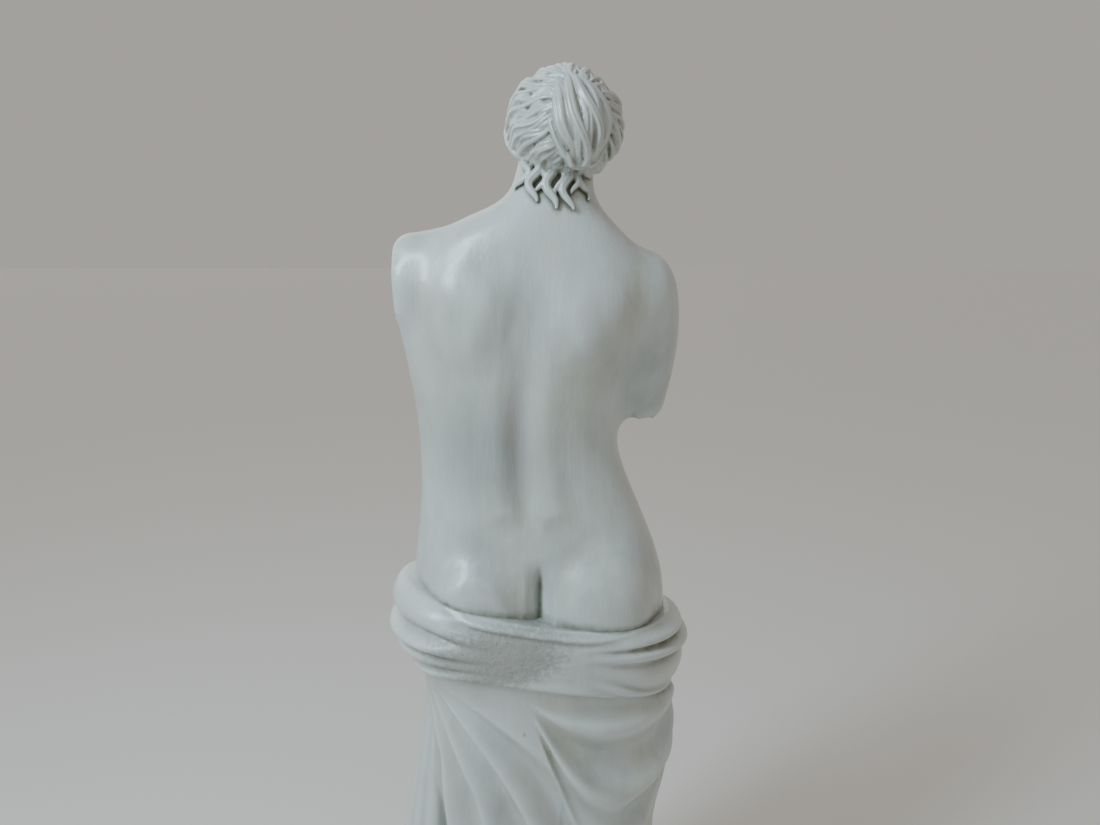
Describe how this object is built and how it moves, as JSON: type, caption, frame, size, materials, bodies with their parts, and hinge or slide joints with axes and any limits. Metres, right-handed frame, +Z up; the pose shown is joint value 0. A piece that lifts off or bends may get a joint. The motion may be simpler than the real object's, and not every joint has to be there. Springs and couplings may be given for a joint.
{
  "type": "aphrodite statue",
  "caption": "Standing half-draped goddess statue, arms broken off, hair drawn up behind, rolled mantle round the hips, on a low oval base cast in one with it.",
  "frame": {"origin": "centre of the oval base's underside, which rests on the floor", "axes": "+Z up through the head; the figure faces -Y; +X points to the figure's own left"},
  "size_m": [0.42, 0.34, 1.25],
  "materials": {
    "painted_plaster": "semi-gloss white paint over plaster, with a greenish-grey wash in the hair and folds"
  },
  "bodies": {
    "root": {"statue": "painted_plaster"}
  },
  "joints": []
}
